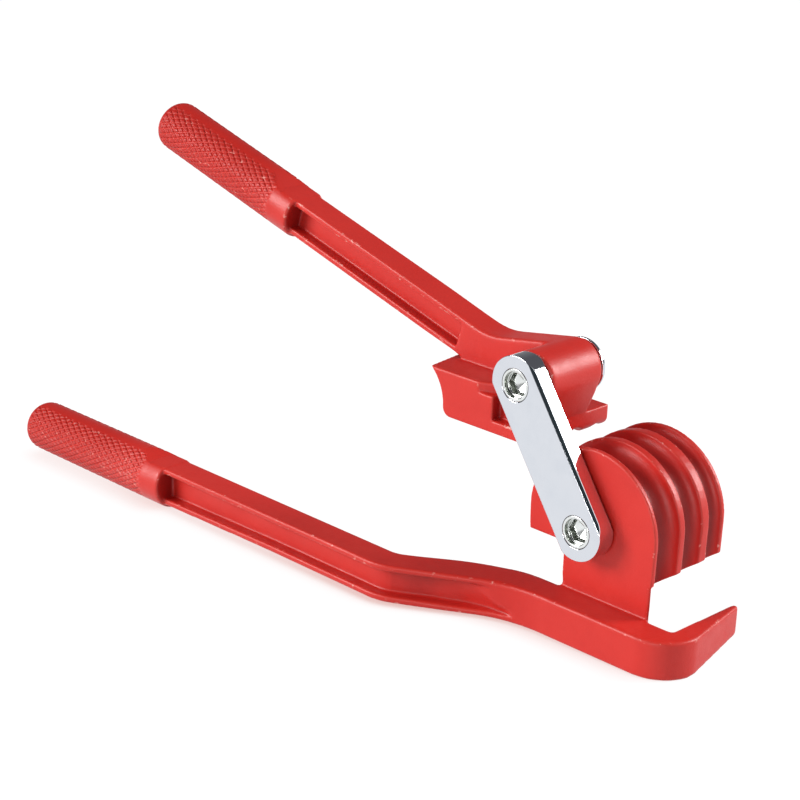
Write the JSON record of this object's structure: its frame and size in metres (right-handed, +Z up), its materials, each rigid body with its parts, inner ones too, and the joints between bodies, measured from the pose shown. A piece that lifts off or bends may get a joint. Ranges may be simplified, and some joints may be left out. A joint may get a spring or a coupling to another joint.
{
  "type": "tube bender",
  "caption": "Hand tube bender: a base handle with a grooved mandrel and hook, and a second handle with a grooved shoe on a chromed link plate.",
  "frame": {"origin": "on the underside of the base bar, at the middle of its width, straight below the mandrel's pivot axis", "axes": "+X along the base bar towards the hook, +Y away from the link plate, +Z up"},
  "size_m": [0.2805, 0.0722, 0.1285],
  "materials": {
    "red_coat": "satin red powder coat on cast metal, knurled grips",
    "chrome": "bright chrome plate",
    "screw_steel": "zinc-plated steel"
  },
  "bodies": {
    "base": {"base_handle": "red_coat"},
    "link": {"link_plate": "chrome", "mandrel_barrel": "chrome", "mandrel_screw": "screw_steel", "mandrel_thrust_washer": "screw_steel", "mandrel_spring_washer": "screw_steel", "shoe_barrel": "chrome", "shoe_screw": "screw_steel", "shoe_thrust_washer": "screw_steel", "shoe_spring_washer": "screw_steel"},
    "handle": {"upper_handle": "red_coat"}
  },
  "joints": [
    {"name": "link_swing", "type": "hinge", "parent": "base", "child": "link", "pos_m": [0, 0, 0.035], "axis": [0, -1, 0], "range_deg": [-124.5, 55.5]},
    {"name": "handle_pivot", "type": "hinge", "parent": "link", "child": "handle", "pos_m": [-0.02662, 0, 0.07373], "axis": [0, -1, 0], "range_deg": [-95, 41]}
  ]
}
